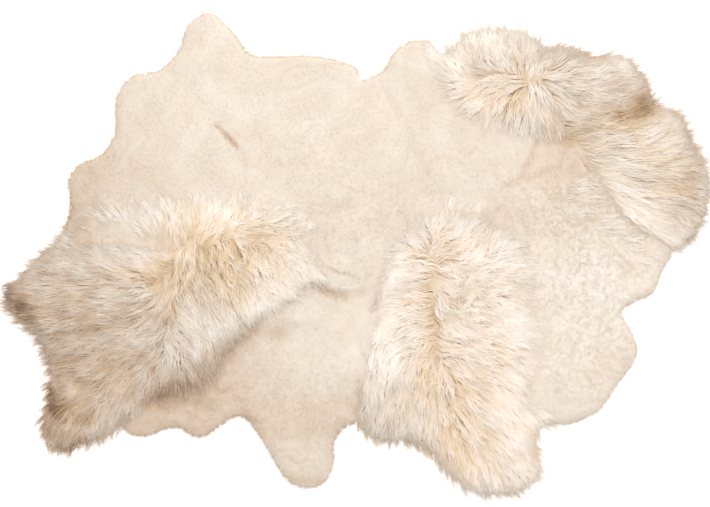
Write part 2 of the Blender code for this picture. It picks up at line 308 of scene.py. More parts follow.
def surfaced(material, links, inputs):
    """The material with its surface: one shader with its links and inputs."""
    shader = add_node(material, "ShaderNodeBsdfPrincipled", links, inputs)
    add_node(material, "ShaderNodeOutputMaterial", [("Surface", shader, "BSDF")])
    return material


def suede_sheepskin_leather():
    """Tanned skin brushed on the flesh side: a short nap, dull and slightly blotched."""
    material = new_material("suede_sheepskin_leather")
    blotches = textured(material, "ShaderNodeTexNoise", {"Scale": 1 / BLOTCH_SIZE, "Detail": 4.0})
    tone = toned(material, blotches, "Fac", SUEDE_TONES)
    nap = textured(material, "ShaderNodeTexNoise", {"Scale": 1 / NAP_SIZE, "Detail": 2.0})
    bump = add_node(
        material, "ShaderNodeBump", [("Height", nap, "Fac")], {"Strength": 0.4, "Distance": NAP_DEPTH}
    )
    links = [("Base Color", tone, "Color"), ("Normal", bump, "Normal")]
    return surfaced(material, links, {"Roughness": 0.9, "IOR": 1.5, "Sheen Weight": 0.3})


def placed(name, data):
    """An object with the given data, in the scene."""
    piece = bpy.data.objects.new(name, data)
    bpy.context.scene.collection.objects.link(piece)
    return piece


def mesh_piece(name, points, faces, material):
    """A smooth-shaded object from points and faces."""
    mesh = bpy.data.meshes.new(name)
    mesh.from_pydata(np.asarray(points, float).tolist(), [], faces)
    mesh.polygons.foreach_set("use_smooth", [True] * len(mesh.polygons))
    mesh.materials.append(material)
    return placed(name, mesh)


def rounded_outline(outline, step):
    """A closed outline as a smooth curve through its corners, with a place about every step."""
    places = []
    for i in range(len(outline)):
        before, start, end, after = (outline[(i + k) % len(outline)] for k in (-1, 0, 1, 2))
        count = max(1, round(np.linalg.norm(end - start) / step))
        t = np.arange(count)[:, None] / count
        bend = (2 * before - 5 * start + 4 * end - after) * t**2
        twist = (3 * start - before - 3 * end + after) * t**3
        places.append((2 * start + (end - before) * t + bend + twist) / 2)
    return np.vstack(places)


def cut_back(outline, insets):
    """A closed outline moved inwards by an inset at each place, a little at a time."""
    moves = 12
    evened_at = 0.020
    for _ in range(moves):
        along = unit(np.roll(outline, -1, axis=0) - np.roll(outline, 1, axis=0))
        moved = outline + left_of(along) * insets[:, None] / moves
        evened = (np.roll(moved, -1, axis=0) + np.roll(moved, 1, axis=0)) / 2
        share = np.clip(insets / evened_at, 0, 1)[:, None] * 0.5
        outline = moved * (1 - share) + evened * share
    return outline


def filled(outline, step):
    """Places and triangles that fill an outline: its own places first, then an even lattice."""
    low, high = outline.min(axis=0), outline.max(axis=0)
    rows = np.arange(low[1], high[1], step * math.sqrt(0.75))
    columns = np.arange(low[0], high[0], step)
    lattice = np.stack(np.meshgrid(columns, rows), axis=2)
    lattice[1::2, :, 0] += step / 2
    lattice = lattice.reshape(-1, 2)
    lattice = lattice[distances_to(outline, lattice) > step * 0.6]
    places = [Vector(place) for place in np.vstack([outline, lattice])]
    rim = [list(range(len(outline)))]
    corners, _, triangles, *_ = geometry.delaunay_2d_cdt(places, [], rim, 1, 1e-7)
    return np.array(corners), triangles


def closed_plate(name, outline, step, top_of, bottom, material):
    """A closed piece over an outline: a top whose heights top_of gives, a wall and a flat bottom."""
    places, triangles = filled(outline, step)
    rim = len(outline)
    _, under = filled(outline, 10.0)
    upper = np.column_stack([places, top_of(places)])
    lower = np.column_stack([outline, np.full(rim, bottom)])
    points = np.vstack([upper, lower])
    first = len(places)
    faces = [tuple(triangle) for triangle in triangles]
    faces += [tuple(first + i for i in triangle[::-1]) for triangle in under]
    faces += [((i + 1) % rim, i, first + i, first + (i + 1) % rim) for i in range(rim)]
    piece = mesh_piece(name, points, faces, material)
    piece.data.set_sharp_from_angle(angle=SHARP_ANGLE)
    return piece


def skin_top(places):
    """The height of the skin's wool side, which is level."""
    return np.full(len(places), SKIN_LIFT + SKIN_THICKNESS)


leather = suede_sheepskin_leather()
skins = {}
outlines = {name: rounded_outline(pelt.outline, OUTLINE_STEP) for name, pelt in pelts.items()}
for name, pelt in pelts.items():
    at_seam = inside_others(name, outlines[name]) > -SEAM_REACH
    long_there = on_net(pelt.long_share, outlines[name])
    overhang = SHORT_OVERHANG + (LONG_OVERHANG - SHORT_OVERHANG) * long_there
    insets = np.where(at_seam, 0, overhang)
    for _ in range(12):
        insets = (np.roll(insets, 1) + insets + np.roll(insets, -1)) / 3
    edge = cut_back(outlines[name], insets + SEWN_GAP)
    title = name.replace("pelt", "skin")
    skins[name] = closed_plate(title, edge, SKIN_NET, skin_top, SKIN_LIFT, leather)

# ----------------------------------------
# The seams' thread. Waxed cream thread in a row of short whip stitches on the flesh side, which
# holds the skins' cut edges together.
THREAD_RADIUS = 0.0004
STITCH_PITCH = 0.006
STITCH_REACH = 0.0035  # from the seam to each end of a stitch
STITCH_SLANT = 0.002
STITCH_COURSE = ((-1, 0.0006), (-0.55, -0.0001), (0.55, -0.0001), (1, 0.0006))  # share, sink
FINE_STEP = 0.001
THREAD_TONES = ((0.3, "#D8CBB2"), (0.7, "#EFE6D3"))
THREAD_TWIST = 0.0012


def waxed_thread():
    """Twisted and waxed cotton: plied bands across the thread and a slight gloss."""
    material = new_material("waxed_cotton_thread")
    inputs = {"Scale": 1 / THREAD_TWIST, "Distortion": 1.0}
    twist = textured(material, "ShaderNodeTexWave", inputs, bands_direction="DIAGONAL")
    tone = toned(material, twist, "Fac", THREAD_TONES)
    return surfaced(material, [("Base Color", tone, "Color")], {"Roughness": 0.5, "IOR": 1.45})


def seam_places(outline, other):
    """Places a stitch apart where an outline runs along another pelt, and the way it runs there."""
    dense = rounded_outline(outline, FINE_STEP)
    near = on_net(other, dense) > -SEAM_REACH / 2
    along = unit(np.roll(dense, -3, axis=0) - np.roll(dense, 3, axis=0))
    every = round(STITCH_PITCH / FINE_STEP)
    chosen = near & (np.arange(len(dense)) % every == 0)
    return dense[chosen], along[chosen]


def stitches(name, places, along):
    """Slanting stitches as small bent square-sided tubes under the seam, joined into one piece."""
    points, faces = [], []
    for place, run, over in zip(places, along, -left_of(along)):
        rings = []
        for share, sink in STITCH_COURSE:
            x, y = place + over * share * STITCH_REACH + run * share * STITCH_SLANT / 2
            ring = []
            for turn in range(4):
                spread = run * math.cos(turn * math.pi / 2) * THREAD_RADIUS
                rise = math.sin(turn * math.pi / 2) * THREAD_RADIUS
                ring.append(len(points))
                points.append((x + spread[0], y + spread[1], SKIN_LIFT - THREAD_RADIUS + sink + rise))
            rings.append(ring)
        for a, b in zip(rings, rings[1:]):
            faces += [(a[i], b[i], b[(i + 1) % 4], a[(i + 1) % 4]) for i in range(4)]
        faces += [tuple(rings[0][::-1][i] for i in range(4))[::-1], tuple(rings[-1])]
    return mesh_piece(name, points, faces, thread)


thread = waxed_thread()
names = sorted(pelts)
for i, name in enumerate(names):
    for other in names[i + 1 :]:
        places, along = seam_places(pelts[name].outline, pelts[other].inside)
        if len(places):
            title = f"stitches_{name}_to_{other}".replace("pelt_", "")
            seam = stitches(title, places, along)
            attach(seam, "root")

# ----------------------------------------
# The underwool. Under the tips the fleece is a dense springy mass of fine crimped wool, cream at
# the tips and golden with wool grease at the roots, where painted shade darkens it too. It fills each
# pelt and carries its creases.
WOOL_NET = 0.0055
WOOL_ABOVE_SKIN = 0.0002
PLUSH_TUFT = 0.0012  # how far clipped tips stand above the dense wool where it is smooth
CURLY_TUFT = 0.0026
LONG_SHARE_BELOW = 0.78  # of the pile's height: the dense part under long wool
EDGE_INSET = 0.0028
SEAM_OVERLAP = 0.0005
WOOL_TONES = (  # across: from bleached cream by golden cream to the brown of weathered tips
    (0.00, "#FDFAF4"),
    (0.2, "#FBF1E5"),
    (0.4, "#F5DFBD"),
    (0.55, "#DDC39A"),
    (0.7, "#B1947A"),
    (0.85, "#846850"),
    (1.00, "#5E4836"),
)
DEPTH_SHADE_TONES = (  # up: how much darker the wool is, from root to tip: painted shade of depth, creases and edges, and its own duller patches
    (0.00, "#8A7260"),
    (0.4, "#C9B49F"),
    (0.7, "#DFD7CE"),
    (1.00, "#FFFFFF"),
)

# Near the rug's own edge the wool turns down, and painted shade darkens it there.
EDGE_REACH = 0.035
SHORT_EDGE_SHADE = 0.07
LONG_EDGE_SHADE = 0.05

middle = np.array(((frame_low + frame_high) / 2)[:2])

# Patches are rows of centimetres east and north of the rug's middle, half-widths, and how much.
# Tints are mostly the wool's own golden and brown patches; those at 43, 39, at 54, 33 and at 57, 30 under
# the upper right pelt's long wool, and at -34.5, 31.2 in a crease, are painted shade.
TINTS = (
    (-38, 2, 17, 10, 0.27), (-34, -4, 9, 5, 0.07), (-22, 5, 5, 3, 0.08), (-70, -12, 18, 12, 0.1),
    (-72, -36, 14, 12, 0.12), (-89, -14, 5, 4, 0.14), (-80, -42, 5, 4, 0.16), (-79, -50, 5, 4, 0.12),
    (77, 39, 4, 4, 0.16), (71, 37, 7, 2.5, 0.16), (-34.5, 31.2, 2.5, 2, 0.12), (43, 39, 3, 2.8, 0.2),
    (54, 33, 5, 2, 0.22), (57, 30, 2, 1.5, 0.15), (84, 19, 11, 15, 0.15), (74, 8, 7, 5, -0.06),
    (59, 22, 9, 7, 0.08), (-38, -8, 14, 8, 0.09), (66, 34, 14, 9, 0.14), (37, 43, 12, 7, 0.14),
    (27, -54, 8, 9, 0.16), (22, -10, 6, 14, 0.1), (30, -38, 16, 10, 0.1), (18, -34, 4, 6, 0.07),
    (28, -24, 24, 34, 0.08), (60, -8, 24, 34, -0.03), (43, -63, 4, 1.5, 0.12), (48, -52, 2, 5, 0.12),
)
# Dulls darken the wool: partly its own greyer and browner tone, partly painted shade, darker towards the
# lower left and where the edges curl under; those below 0 lighten it.
DULLS = (
    (-72, -30, 30, 26, 0.24), (-80, -34, 10, 16, 0.08), (-64, -16, 26, 16, 0.12), (-48, -36, 12, 6, 0.12),
    (-30, -46, 30, 14, 0.13), (-90, -8, 14, 12, 0.16), (-95, -9.5, 3, 2.5, 0.34),
    (-92, -12, 3.2, 2.6, 0.4), (-89, -15, 3, 2.6, 0.46), (-86.5, -18, 2.6, 2.4, 0.34),
    (-82, -38.5, 2.2, 2.8, 0.46), (-80.5, -41.5, 2.6, 2.2, 0.48), (-75.5, -43.5, 4.4, 2.2, 0.34),
    (-83, -47, 3, 3.5, 0.28), (-78, -52, 6, 2.5, 0.2), (22, -22, 30, 44, 0.07), (1, -14, 9, 22, -0.1),
    (-8, -28, 14, 14, -0.08), (60, -10, 18, 30, -0.12), (36, 46, 14, 10, 0.06), (-78, -49, 7, 5, 0.2),
    (-81, -28, 3, 6, 0.12), (76.5, 40.5, 3.2, 3.2, 0.44), (72, 38, 5, 2, 0.26), (91, 18, 5, 18, 0.12),
    (58, 53, 10, 4, 0.18), (66, 26, 20, 18, 0.1), (-78, 14, 10, 24, 0.22), (4, -42, 12, 12, 0.14),
    (76, 44, 14, 10, 0.18), (88, 22, 8, 22, 0.16), (48, 54, 14, 5, 0.12), (60, 45, 14, 12, 0.1),
    (-59, 36, 9, 16, 0.06), (-58, 19, 11, 8, 0.06), (-15, 7, 9, 6, 0.05), (29, 6, 12, 6, 0.07),
    (44, 7, 10, 6, 0.05), (72, 11, 6, 5, 0.08), (59, 22, 9, 7, 0.05), (60, 7, 9, 6, 0.04),
    (-38, -8, 14, 8, 0.09), (-3, -8, 12, 7, 0.07), (-3, -21, 10, 6, 0.04), (-74, -35, 9, 7, 0.1),
    (-72, -20, 8, 6, 0.05), (-61, -35, 8, 6, 0.05), (58, 34, 9, 7, 0.08), (71, 36, 9, 6, 0.04),
    (44, 48, 10, 6, 0.04), (44, -34, 8, 8, -0.06), (-80.5, -40.5, 3, 2.6, 0.18), (-91, -13, 3.4, 3, 0.1),
    (77, 40, 3, 2.6, 0.14),
)


def patched(patches, places):
    """How much the patches add up to at each place."""
    total = np.zeros(places.shape[:-1])
    for x, y, wide, high, amount in patches:
        off = (places - middle) * 100 - (x, y)
        total += amount * np.exp(-((off / (wide, high)) ** 2).sum(axis=-1))
    return total


def mottled(places, cell, seed):
    """Smooth random values from about -1 to 1 that change over the cell's size."""
    table = np.random.default_rng(seed).uniform(-1, 1, (256, 256))
    total = 0
    for turn in (0.5, 1.7):
        across = (places[..., 0] * math.cos(turn) + places[..., 1] * math.sin(turn)) / cell + 90
        up = (places[..., 1] * math.cos(turn) - places[..., 0] * math.sin(turn)) / cell + 90
        i, j = np.floor(across).astype(int), np.floor(up).astype(int)
        a, b = smooth_step(across - i), smooth_step(up - j)
        i, j, right, above = i % 256, j % 256, (i + 1) % 256, (j + 1) % 256
        lower = table[j, i] * (1 - a) + table[j, right] * a
        upper = table[above, i] * (1 - a) + table[above, right] * a
        total = total + 0.65 * (lower * (1 - b) + upper * b)
        table = table.T
    return total


BASE_TINT = 0.10
CLIPPED_DULL = 0.26
CREVICE_DEPTH = 0.0018
# Painted shade in the crevices between curls.
CREVICE_SHADE = 0.12
tint_net = BASE_TINT + patched(TINTS, net_rows) + 0.05 * mottled(net_rows, 0.07, 3)
streaks = 1 + 0.35 * mottled(net_rows, 0.018, 6)
# Painted shade and the wool's own duller tone, in patches and streaks, darken the wool by this net.
shade_and_dull_net = patched(DULLS, net_rows) * streaks + 0.035 * mottled(net_rows, 0.045, 4)
shade_and_dull_net = shade_and_dull_net + 0.02 * mottled(net_rows, 0.016, 5)

# Where wool of a middling length thins out from the long wool to the clipped.
THINNED = (
    (-36, 9, 17, 6, 0.75), (-60, 10, 18, 5, 0.5), (-18, 5, 8, 8, 0.4), (25, 12, 11, 7, 0.5),
    (50, -14, 3, 20, 0.15), (-89, -13, 8, 8, 0.9), (-80, -45, 9, 9, 0.7), (61, 18, 6, 8, 0.4),
    (69, 7, 7, 5, 0.4), (80, 0, 6, 4, 0.35),
)
thinned_net = patched(THINNED, net_rows)
for name in ("pelt_upper_left", "pelt_lower_right"):
    share = np.clip(pelts[name].long_share + thinned_net, 0, 1)
    pelts[name] = pelts[name]._replace(long_share=share)
long_net = np.maximum.reduce([pelt.long_share * (pelt.inside > 0) for pelt in pelts.values()])
long_net = softened(long_net, NET_STEP * 2)
# Painted shade where the wool turns down at the rug's edge.
edge_shade = SHORT_EDGE_SHADE + (LONG_EDGE_SHADE - SHORT_EDGE_SHADE) * long_net
shade_and_dull_net += edge_shade * (1 - smooth_step(edge_net / EDGE_REACH)) ** 1.5

# Where long wool lies flat and thin, so that it runs into the clipped wool with no step.
SINKS = (
    (62, 22, 8, 6, 0.35), (71, 14, 9, 6, 0.45), (82, 6, 9, 7, 0.35), (-45, 14, 24, 6, 0.15),
    (-6, -6, 8, 7, 0.35),
)
sinking = np.clip(patched(SINKS, net_rows), 0, 0.6)
pile = pile * (1 - sinking * (pile > 0.02))

# Where the pelts pucker and fold, where locks part and where the long fringe overhangs: centimetres
# from end to end, half-width, and how much painted shade each lays along it and how much it lowers the
# wool.
CREASES = (
    (-37.9, 34.6, -35, 31.6, 0.45, 0.34, 0.4), (-35, 31.6, -32.2, 28.8, 0.55, 0.42, 0.5),
    (-31.6, 28, -30.2, 24, 1, 0.1, 0.2), (-30.2, 24, -30.4, 19, 0.8, 0.05, 0.1),
    (-12.5, -7.8, -9.5, -9.3, 1.1, 0.12, 0.2), (-9.5, -9.3, -6.5, -10.8, 1.1, 0.33, 0.5),
    (-6.5, -10.8, -3.2, -11.8, 1.4, 0.27, 0.5), (-3.2, -11.8, 1, -10.8, 1.1, 0.1, 0.2),
    (4.5, -14.5, 6.5, -11.5, 1.2, 0.14, 0.2), (-33, -20, -28, -20.6, 1.8, 0.14, 0.2),
    (-28, -20.6, -20.5, -21.6, 2.2, 0.22, 0.3), (-30, -21.6, -35, -25.5, 3.2, 0.26, 0.2),
    (-35, -25.5, -40, -30.5, 3.6, 0.3, 0.2), (-40, -30.5, -45, -34.5, 3.6, 0.32, 0.2),
    (-45, -34.5, -53, -38, 3.6, 0.26, 0.2), (8, 44, 12, 37, 1, 0.06, 0.1),
    (12, 37, 19, 21, 1.2, 0.05, 0.1), (48.5, 30, 44.5, 21, 0.9, 0.16, 0.2),
    (40, 18.5, 46, 19.8, 0.7, 0.14, 0.2), (46, 19.8, 54, 23.5, 0.8, 0.12, 0.2),
    (-80, 13, -74, 8, 1.6, 0.1, 0.1), (-30.5, -43.8, -26.5, -45.5, 0.9, 0.16, 0.1),
    (-18, -60.5, -10, -61.2, 1.5, 0.16, 0.1), (-72, -3.5, -66, -6.5, 1.2, 0.14, 0.3),
    (-64, -17.5, -56, -17, 1.4, 0.16, 0.4), (-56, -17, -49, -18.5, 1.2, 0.12, 0.3),
    (-79, -21.5, -66, -19.5, 1.2, 0.14, 0.3), (-61, -30, -53, -24.5, 1.3, 0.16, 0.4),
    (-48, -20, -44, -23.5, 1.2, 0.12, 0.3), (-73, -27, -62, -29.5, 1.1, 0.1, 0.3),
    (-75, -33.5, -66, -37, 1.3, 0.12, 0.3),
)
# Where long wool thins out to the clipped wool with no step, and by what share it does.
RAMPS = (
    (59, 27, 69, 14, 9, 0.85), (69, 14, 87, 0, 9.5, 0.85), (-78, 9, -20, 9, 7, 0.7),
    (48, 4, 50, -38, 4, 0.5), (27, 54, 33, 42, 4, 0.6), (14, 10, 36, 10, 4, 0.5),
)
BULGES = (
    (-15, -17.5, 6, 2.2, 0.005), (-5, -7.5, 6, 2.4, 0.004), (-33, 33, 3, 3, 0.003),
)


def creased(creases, places, which=0):
    """The strongest crease at each place, by the first or the second of the creases' amounts."""
    total = np.zeros(places.shape[:-1])
    for x, y, end_x, end_y, wide, *amounts in creases:
        off = (places - middle) * 100 - (x, y)
        span = np.array([end_x - x, end_y - y])
        share = np.clip(off @ span / (span @ span), 0, 1)
        gap = np.linalg.norm(off - share[..., None] * span, axis=-1)
        total = np.maximum(total, amounts[which] * np.exp(-((gap / wide) ** 2)))
    return total


CREASE_DEPTH = 0.01
# Painted shade along the creases, the partings and under the fringe.
shade_and_dull_net += creased(CREASES, net_rows)
pile = pile - CREASE_DEPTH * creased(CREASES, net_rows, 1)
excess = np.maximum(pile - CLIPPED_HEIGHT, 0)
pile = pile - excess * creased(RAMPS, net_rows)
pile = np.maximum(pile, 0) + patched(BULGES, net_rows) * (pile > 0.012)

# How the clipped wool looks: curls stands for tight curly wool, and 0 for smooth plush.
CURLS = (
    (62, -8, 18, 22, 0.9), (55, 14, 16, 8, 0.7), (72, 6, 10, 8, 0.5), (60, -32, 14, 10, 0.45),
    (-26, -38, 26, 12, 0.4), (-12, 2, 14, 16, 0.3), (6, 8, 10, 14, 0.35), (-70, 22, 9, 9, 0.3),
    (-20, 30, 22, 14, 0.12),
)
curl_net = np.clip(patched(CURLS, net_rows), 0, 1)


def crevices(places):
    """0 on a curl and 1 in the thin crevices that wind between curls."""
    first = mottled(places, 0.015, 51)
    second = mottled(places, 0.009, 52)
    return np.maximum(np.exp(-((first / 0.16) ** 2)), 0.7 * np.exp(-((second / 0.14) ** 2)))


def greasy_wool():
    """Washed wool: matt crimped fibre with a faint halo, golden towards the root, and darkened by painted
    shade through its second map.
    """
    material = new_material("washed_sheep_wool")
    strand = add_node(material, "ShaderNodeUVMap", uv_map="strand")
    parts = add_node(material, "ShaderNodeSeparateXYZ", [("Vector", strand, "UV")])
    tone = toned(material, parts, "X", WOOL_TONES)
    # The second map is painted shade: it darkens the wool towards the roots and wherever it lies in
    # shade.
    depth = toned(material, parts, "Y", DEPTH_SHADE_TONES)
    both = add_node(material, "ShaderNodeMix", data_type="RGBA", blend_type="MULTIPLY")
    both.inputs["Factor"].default_value = 1.0
    # A colour mix keeps its colour sockets after its number and vector ones.
    material.node_tree.links.new(tone.outputs["Color"], both.inputs[6])
    material.node_tree.links.new(depth.outputs["Color"], both.inputs[7])
    inputs = {"Roughness": 0.75, "IOR": 1.55, "Sheen Weight": 0.25, "Sheen Roughness": 0.5}
    return surfaced(material, [("Base Color", both, 2)], inputs)


def shade(piece, across, up):
    """Stores each point's tint and depth as two like maps, one that the colour reads and a copy named
    OFBake.
    """
    mesh = piece.data
    corners = np.empty(len(mesh.loops), np.int32)
    mesh.loops.foreach_get("vertex_index", corners)
    values = np.stack([np.clip(across, 0.002, 0.998), np.clip(up, 0.002, 0.998)], axis=-1)
    values = values.reshape(-1, 2)[corners].astype(np.float32).ravel()
    for title in ("strand", "OFBake"):
        mesh.uv_layers.new(name=title).data.foreach_set("uv", values)


def dense_top(places):
    """The height of the dense wool: a little below clipped tips, and well below long ones."""
    top = on_net(pile, places)
    long_there = on_net(long_net, places)
    curl = on_net(curl_net, places)
    clipped = top - (PLUSH_TUFT + (CURLY_TUFT - PLUSH_TUFT) * curl) * np.clip(top / 0.017, 0.3, 1)
    clipped = clipped - CREVICE_DEPTH * crevices(places) * curl
    uneven = 0.004 * mottled(places, 0.03, 13) - 0.002
    long_below = top * LONG_SHARE_BELOW + uneven * np.clip(top / 0.05, 0, 1)
    height = clipped * (1 - long_there) + long_below * long_there
    return np.maximum(height, SKIN_LIFT + SKIN_THICKNESS + 0.0012)


wool = greasy_wool()
fleeces = {}
for name, pelt in pelts.items():
    at_seam = inside_others(name, outlines[name]) > -SEAM_REACH
    insets = np.where(at_seam, -SEAM_OVERLAP, EDGE_INSET)
    edge = cut_back(outlines[name], insets)
    bottom = SKIN_LIFT + SKIN_THICKNESS + WOOL_ABOVE_SKIN
    title = name.replace("pelt", "underwool")
    fleece = closed_plate(title, edge, WOOL_NET, dense_top, bottom, wool)
    places = np.empty(len(fleece.data.vertices) * 3)
    fleece.data.vertices.foreach_get("co", places)
    places = places.reshape(-1, 3)[:, :2]
    long_there = on_net(long_net, places)
    # Painted shade: darker under the long wool, in the shaded and dull patches and in the crevices
    # between curls; the clipped wool is also of a duller tone of its own.
    depth = 0.98 - 0.15 * long_there - np.minimum(on_net(shade_and_dull_net, places), 0.4)
    deep = crevices(places) * on_net(curl_net, places)
    depth -= (1 - long_there) * (CLIPPED_DULL + CREVICE_SHADE * deep)
    # Golden under the long wool: the grease of the roots, deepened as painted shade.
    tint = on_net(tint_net, places) + 0.12 * long_there
    shade(fleece, tint, depth)
    fleeces[name] = fleece

# ----------------------------------------
# The clipped wool. Most of the rug is shorn to an even 17 mm: short tips that stand up and lean
# every way, smooth as plush in some places and in tight small curls in others.
CLIPPED_SPACING = 0.0046
RIM_SPACING = 0.0026
RIM_REACH = 0.009
CLIPPED_LENGTH = 0.0095
CLIPPED_WIDTH = 0.0026
TURNED_DOWN = 0.014  # nearer the rug's edge than this, tips turn outwards
LIT_LEVEL = 0.8  # a round soft fibre has no flat side, so its light is a level face's by this share


def ribbons(name, lines, sides, across, up):
    """Joins one tapered ribbon along each line into one piece; a side is half a ribbon's width."""
    count, places, _ = lines.shape
    own = 2 * places - 1
    points = np.empty((count, own, 3))
    points[:, 0:-1:2] = lines[:, :-1] - sides[:, :-1]
    points[:, 1::2] = lines[:, :-1] + sides[:, :-1]
    points[:, -1] = lines[:, -1]
    quads = [(2 * i, 2 * i + 1, 2 * i + 3, 2 * i + 2) for i in range(places - 2)]
    own_corners = [i for quad in quads for i in quad] + [own - 3, own - 2, own - 1]
    own_starts = [4 * i for i in range(places - 1)]
    corners = (np.arange(count)[:, None] * own + own_corners).ravel()
    starts = (np.arange(count)[:, None] * len(own_corners) + own_starts).ravel()
    mesh = bpy.data.meshes.new(name)
    mesh.vertices.add(count * own)
    mesh.vertices.foreach_set("co", points.astype(np.float32).ravel())
    mesh.loops.add(len(corners))
    mesh.loops.foreach_set("vertex_index", corners.astype(np.int32))
    mesh.polygons.add(len(starts))
    mesh.polygons.foreach_set("loop_start", starts.astype(np.int32))
    mesh.polygons.foreach_set("use_smooth", np.ones(len(starts), bool))
    mesh.update(calc_edges=True)
    mesh.materials.append(wool)
    facing = np.empty(count * own * 3)
    mesh.vertices.foreach_get("normal", facing)
    facing = facing.reshape(-1, 3)
    facing *= np.where(facing[:, 2:] < 0, -1, 1) * (1 - LIT_LEVEL)
    facing[:, 2] += LIT_LEVEL
    mesh.normals_split_custom_set_from_vertices(facing.tolist())
    piece = placed(name, mesh)
    doubled = [np.concatenate([np.repeat(v[:, :-1], 2, axis=1), v[:, -1:]], axis=1) for v in (across, up)]
    shade(piece, *doubled)
    return piece


def turned_sides(lines, widths, roll):
    """Half-widths across each line, level at roll 0 and turned about the line by the roll."""
    along = unit(np.gradient(lines, axis=1))
    level = np.stack([along[..., 1], -along[..., 0], np.zeros(along.shape[:2])], axis=-1)
    level = unit(level)
    upright = np.cross(level, along)
    roll = roll[:, None, None]
    return (level * np.cos(roll) + upright * np.sin(roll)) * widths[..., None] / 2


def scattered(pelt, spacing, margin, seed):
    """Places about a spacing apart, each moved at random, that lie inside a pelt by a margin."""
    rng = np.random.default_rng(seed)
    low, high = pelt.outline.min(axis=0), pelt.outline.max(axis=0)
    grid = np.stack(
        np.meshgrid(np.arange(low[0], high[0], spacing), np.arange(low[1], high[1], spacing)), axis=2
    ).reshape(-1, 2)
    places = grid + rng.uniform(-0.6, 0.6, grid.shape) * spacing
    kept = (on_net(pelt.inside, places) > margin) & (on_net(edge_net, places) > abs(margin))
    return places[kept], rng


def slope_of(net, places):
    """The way in which a net falls most steeply at each place, as unit vectors."""
    reach = NET_STEP
    east = on_net(net, places + (reach, 0)) - on_net(net, places - (reach, 0))
    north = on_net(net, places + (0, reach)) - on_net(net, places - (0, reach))
    return unit(-np.stack([east, north], axis=-1))


clipped = {}
for seed, (name, pelt) in enumerate(pelts.items()):
    roots, rng = scattered(pelt, CLIPPED_SPACING, -0.0010, 100 + seed)
    rim, _ = scattered(pelt, RIM_SPACING, -0.0010, 150 + seed)
    roots = np.vstack([roots, rim[on_net(edge_net, rim) < RIM_REACH]])
    roots = roots[on_net(long_net, roots) < rng.uniform(0.25, 0.8, len(roots))]
    count = len(roots)
    curl = on_net(curl_net, roots)
    near_edge = 1 - smooth_step(on_net(edge_net, roots) / TURNED_DOWN)
    lie = 6.0 * mottled(roots, 0.05, 21) + 2.5 * curl * mottled(roots, 0.012, 22)
    lie = lie + rng.normal(0, 0.9, count)
    way = np.stack([np.cos(lie), np.sin(lie)], axis=1) * (1 - near_edge)[:, None]
    way += slope_of(edge_net, roots) * near_edge[:, None] * 1.6
    way = unit(way)
    length = CLIPPED_LENGTH * rng.uniform(0.75, 1.25, count)
    lean = rng.uniform(0.7, 1.0, count)
    shares = np.array([0, 0.5, 1.0])
    flat = roots[:, None] + way[:, None] * (length * lean)[:, None, None] * shares[:, None]
    bend = rng.normal(0, 1, count) * length * (0.12 + 0.25 * curl)
    flat[:, 1] += left_of(way) * bend[:, None]
    top = np.maximum(on_net(pile, flat[:, -1]), 0.0035)
    low_end = dense_top(roots) - 0.001
    deep = crevices(flat[:, 1]) * curl
    tip = top + rng.uniform(-0.0008, 0.0002, count) * (1 + curl) - CREVICE_DEPTH * deep
    height = low_end[:, None] + (tip - low_end)[:, None] * np.array([0, 0.72, 1.0])
    lines = np.concatenate([flat, height[..., None]], axis=2)
    lines[..., 2] = np.maximum(lines[..., 2], 0.0015)
    widths = CLIPPED_WIDTH * rng.uniform(0.7, 1.3, count)[:, None] * np.array([1.0, 0.8, 0])
    widths *= 1 - 0.35 * near_edge[:, None]
    sides = turned_sides(lines, widths, rng.normal(0, 0.13, count))
    tint = on_net(tint_net, roots) + rng.normal(0, 0.012, count) + 0.02 * curl
    # Painted shade from the patches, creases and crevices, and darker towards the root; the clipped
    # wool's own tone is duller too.
    dull = CLIPPED_DULL * (1 - on_net(long_net, roots)) + on_net(shade_and_dull_net, roots)
    dull = dull + CREVICE_SHADE * deep
    up = np.array([0.97, 0.99, 1.0]) - dull[:, None] + rng.normal(0, 0.008, (count, 1))
    across = np.repeat(tint[:, None], 3, axis=1)
    clipped[name] = ribbons(name.replace("pelt", "clipped_wool"), lines, sides, across, up)

# ----------------------------------------
# The long wool. On three of the pelts a patch keeps its full length of 60 to 100 mm: soft wavy
# locks of fine fibres that run together at the tips, combed outwards from a crown or a parting.
LOCK_SPACING = 0.0105
STRANDS_PER_LOCK = 9
STRAND_WIDTH = 0.0016
STRAND_SHARES = np.array([0, 0.22, 0.42, 0.62, 0.82, 1.0])
STRAND_TAPER = np.array([0.8, 1.0, 1.0, 0.85, 0.5, 0])
PATH_STEPS = 24
LEAN_BACK = 0.020
LOCK_WAVE = 0.036
GUIDE_BLEND = 0.015
ROOT_MARGIN = 0.006
SPARSE_SHARES = (0.15, 0.80)  # locks thin out between these shares of long wool
LENGTH_SPREAD = (0.85, 1.2)
BASE_WAVE = 0.42
TIPS_PAST = (-0.016, 0.030)  # how far past the outline tips may end
HEAP_SIZE = 0.026
HEAP_LIFT = 0.0045
WISP_SHARE = 0.12
WISP_REACH = 0.22
STRAY_SHARE = 0.14
STRAY_REACH = 0.0028
FAR_STRAY_REACH = 0.008
STRAND_WAVE = 0.018
STRAND_RIPPLE = 0.0009
STRAND_ROLL = 0.17
FINER_REACH = 0.03  # nearer the rug's edge than this, tips gather and grow thin
FULL_BODY = 0.040  # where the pile is as high as this, locks lie at their full depth
LEAST_BODY = 0.2
# ROOT_GOLD: the golden of greasy roots, deepened as painted shade where the pile is thick.
ROOT_GOLD = 0.17

